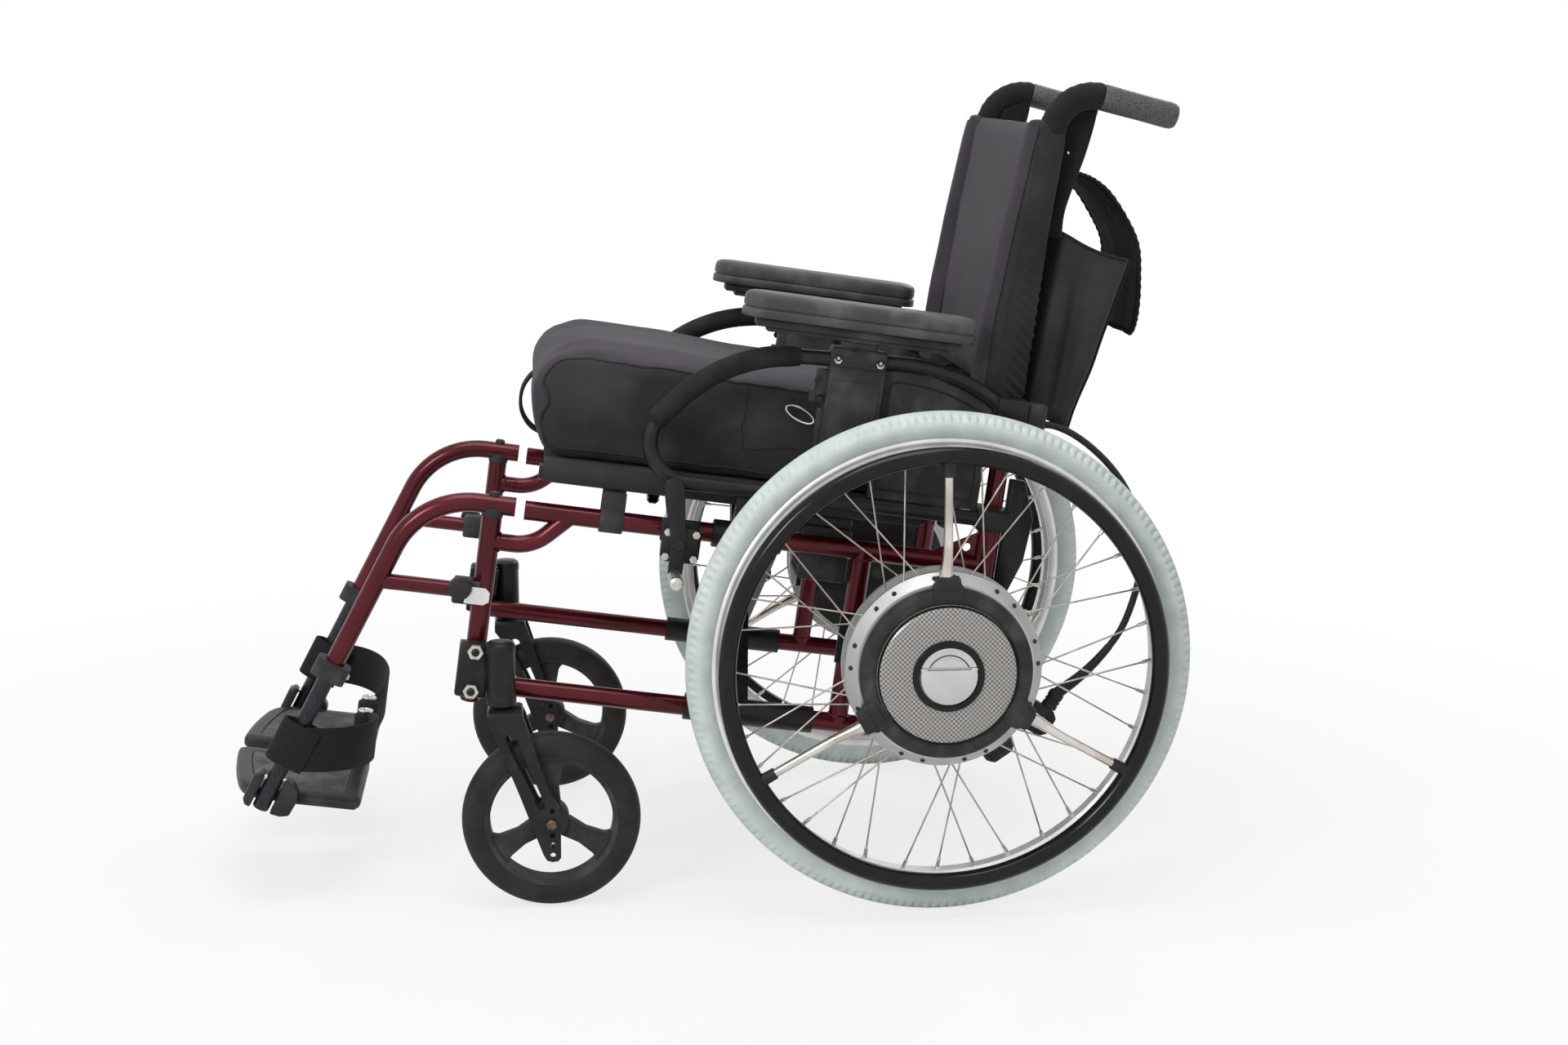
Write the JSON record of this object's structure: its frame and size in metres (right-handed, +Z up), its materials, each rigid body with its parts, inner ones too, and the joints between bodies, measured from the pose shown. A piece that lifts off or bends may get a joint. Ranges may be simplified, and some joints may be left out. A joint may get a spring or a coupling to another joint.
{
  "type": "wheelchair power assist",
  "caption": "Folding wheelchair with power-assist hub-motor drive wheels, handrims, swing-away footrests, height-adjustable armrests and a cross-brace fold.",
  "frame": {"origin": "centre of the footprint box, on the floor", "axes": "+X to the rear of the chair, +Y to its right side, +Z up"},
  "size_m": [1.1013, 0.7006, 0.9286],
  "materials": {
    "maroon": "gloss",
    "black_paint": "satin",
    "black_plastic": "textured",
    "gloss_black": "gloss",
    "dark_tube": "satin",
    "webbing": "woven",
    "cover": "stretch",
    "tyre": "matte",
    "castor": "matte",
    "grip": "pebbled",
    "pad": "satin",
    "alloy": "satin",
    "steel": "zinc",
    "disc": "patterned",
    "cord": "matte"
  },
  "bodies": {
    "left_frame": {"left_side_frame": "maroon", "left_back_cane": "maroon", "left_push_grip": "grip", "left_castor_housing": "black_paint", "left_axle_plate": "steel", "left_motor_cover": "black_plastic", "left_armrest_frame": "black_paint", "left_side_panel": "black_plastic", "left_wheel_lock_bracket": "black_paint", "left_frame_bolts": "steel", "battery_pack": "black_plastic", "left_power_lead": "cord", "back_upholstery": "cover", "carry_bag": "webbing"},
    "left_wheel": {"left_drive_tyre": "tyre", "left_drive_rim": "alloy", "left_wheel_spokes": "steel", "left_hub_shell": "alloy", "left_hub_cover": "disc"},
    "left_handrim": {"left_handrim": "gloss_black"},
    "left_release": {"left_release_handle": "alloy"},
    "left_castor_fork": {"left_castor_fork": "black_paint"},
    "left_castor": {"left_castor_wheel": "castor"},
    "left_hanger": {"left_hanger": "maroon", "left_footrest_tube": "dark_tube", "left_heel_loop": "webbing"},
    "left_footplate": {"left_footplate": "black_plastic"},
    "left_armpad": {"left_arm_post": "black_plastic", "left_arm_pad": "pad"},
    "left_wheel_lock": {"left_wheel_lock_lever": "black_paint"},
    "right_frame": {"right_side_frame": "maroon", "right_back_cane": "maroon", "right_push_grip": "grip", "right_castor_housing": "black_paint", "right_axle_plate": "steel", "right_motor_cover": "black_plastic", "right_armrest_frame": "black_paint", "right_side_panel": "black_plastic", "right_wheel_lock_bracket": "black_paint", "right_frame_bolts": "steel"},
    "right_wheel": {"right_drive_tyre": "tyre", "right_drive_rim": "alloy", "right_wheel_spokes": "steel", "right_hub_shell": "alloy", "right_hub_cover": "disc"},
    "right_handrim": {"right_handrim": "gloss_black"},
    "right_release": {"right_release_handle": "alloy"},
    "right_castor_fork": {"right_castor_fork": "black_paint"},
    "right_castor": {"right_castor_wheel": "castor"},
    "right_hanger": {"right_hanger": "maroon", "right_footrest_tube": "dark_tube", "right_heel_loop": "webbing"},
    "right_footplate": {"right_footplate": "black_plastic"},
    "right_armpad": {"right_arm_post": "black_plastic", "right_arm_pad": "pad"},
    "right_wheel_lock": {"right_wheel_lock_lever": "black_paint"},
    "arm_a": {"cross_arm_a": "black_paint"},
    "arm_b": {"cross_arm_b": "black_paint"},
    "seat": {"seat_sling": "webbing", "seat_cushion": "cover"}
  },
  "joints": [
    {"name": "fold", "type": "hinge", "parent": "left_frame", "child": "arm_a", "pos_m": [0.0546, -0.195, 0.21027], "axis": [0.99, 0, -0.1409], "range_deg": [0, 34], "deforming": ["seat_sling", "seat_cushion", "back_upholstery", "carry_bag"]},
    {"name": "brace_cross", "type": "hinge", "parent": "arm_a", "child": "arm_b", "pos_m": [0.08438, 0, 0.33431], "axis": [0.99, 0, -0.1409], "range_deg": [-68, 0]},
    {"name": "right_frame_fold", "type": "hinge", "parent": "arm_b", "child": "right_frame", "pos_m": [0.0546, 0.195, 0.21027], "axis": [0.99, 0, -0.1409], "range_deg": [0, 34]},
    {"name": "seat_lift", "type": "slide", "parent": "left_frame", "child": "seat", "axis": [0.121, -0.5129, 0.8499], "range_m": [0, 0.204]},
    {"name": "left_wheel_spin", "type": "hinge", "parent": "left_frame", "child": "left_wheel", "pos_m": [0.2635, -0.288, 0.287], "axis": [0, 1, 0], "continuous": true},
    {"name": "left_handrim_turn", "type": "hinge", "parent": "left_wheel", "child": "left_handrim", "pos_m": [0.2635, -0.332, 0.287], "axis": [0, 1, 0], "range_deg": [-6, 6], "stiffness_Nm_per_rad": 6},
    {"name": "left_release_flip", "type": "hinge", "parent": "left_wheel", "child": "left_release", "pos_m": [0.2635, -0.3483, 0.295], "axis": [-1, 0, 0], "range_deg": [0, 90]},
    {"name": "left_castor_swivel", "type": "hinge", "parent": "left_frame", "child": "left_castor_fork", "pos_m": [-0.22824, -0.229, 0.275], "axis": [0, 0, 1], "continuous": true},
    {"name": "left_castor_spin", "type": "hinge", "parent": "left_castor_fork", "child": "left_castor", "pos_m": [-0.17424, -0.229, 0.102], "axis": [0, 1, 0], "continuous": true},
    {"name": "left_hanger_swing", "type": "hinge", "parent": "left_frame", "child": "left_hanger", "pos_m": [-0.23741, -0.195, 0.4296], "axis": [0.1409, 0, 0.99], "range_deg": [0, 90]},
    {"name": "left_footplate_flip", "type": "hinge", "parent": "left_hanger", "child": "left_footplate", "pos_m": [-0.48758, -0.195, 0.14812], "axis": [0.99, 0, -0.1409], "range_deg": [0, 90], "deforming": ["left_heel_loop"]},
    {"name": "left_pad_slide", "type": "slide", "parent": "left_frame", "child": "left_armpad", "axis": [0.1409, 0, 0.99], "range_m": [0, 0.1]},
    {"name": "left_wheel_lock_turn", "type": "hinge", "parent": "left_frame", "child": "left_wheel_lock", "pos_m": [-0.02742, -0.239, 0.42194], "axis": [0, -1, 0], "range_deg": [0, 26]},
    {"name": "right_wheel_spin", "type": "hinge", "parent": "right_frame", "child": "right_wheel", "pos_m": [0.2635, 0.288, 0.287], "axis": [0, 1, 0], "continuous": true},
    {"name": "right_handrim_turn", "type": "hinge", "parent": "right_wheel", "child": "right_handrim", "pos_m": [0.2635, 0.332, 0.287], "axis": [0, 1, 0], "range_deg": [-6, 6], "stiffness_Nm_per_rad": 6},
    {"name": "right_release_flip", "type": "hinge", "parent": "right_wheel", "child": "right_release", "pos_m": [0.2635, 0.3483, 0.295], "axis": [1, 0, 0], "range_deg": [0, 90]},
    {"name": "right_castor_swivel", "type": "hinge", "parent": "right_frame", "child": "right_castor_fork", "pos_m": [-0.22824, 0.229, 0.275], "axis": [0, 0, 1], "continuous": true},
    {"name": "right_castor_spin", "type": "hinge", "parent": "right_castor_fork", "child": "right_castor", "pos_m": [-0.17424, 0.229, 0.102], "axis": [0, 1, 0], "continuous": true},
    {"name": "right_hanger_swing", "type": "hinge", "parent": "right_frame", "child": "right_hanger", "pos_m": [-0.23741, 0.195, 0.4296], "axis": [-0.1409, 0, -0.99], "range_deg": [0, 90]},
    {"name": "right_footplate_flip", "type": "hinge", "parent": "right_hanger", "child": "right_footplate", "pos_m": [-0.48758, 0.195, 0.14812], "axis": [-0.99, 0, 0.1409], "range_deg": [0, 90], "deforming": ["right_heel_loop"]},
    {"name": "right_pad_slide", "type": "slide", "parent": "right_frame", "child": "right_armpad", "axis": [0.1409, 0, 0.99], "range_m": [0, 0.1]},
    {"name": "right_wheel_lock_turn", "type": "hinge", "parent": "right_frame", "child": "right_wheel_lock", "pos_m": [-0.02742, 0.239, 0.42194], "axis": [0, -1, 0], "range_deg": [0, 26]}
  ],
  "couplings": [
    {"joint": "brace_cross", "follows": "fold", "ratio": -2},
    {"joint": "right_frame_fold", "follows": "fold", "ratio": 1},
    {"joint": "seat_lift", "follows": "fold", "m_per_rad": 0.34287},
    {"joint": "left_footplate_flip", "follows": "fold", "ratio": 2.6471},
    {"joint": "right_footplate_flip", "follows": "fold", "ratio": 2.6471}
  ]
}
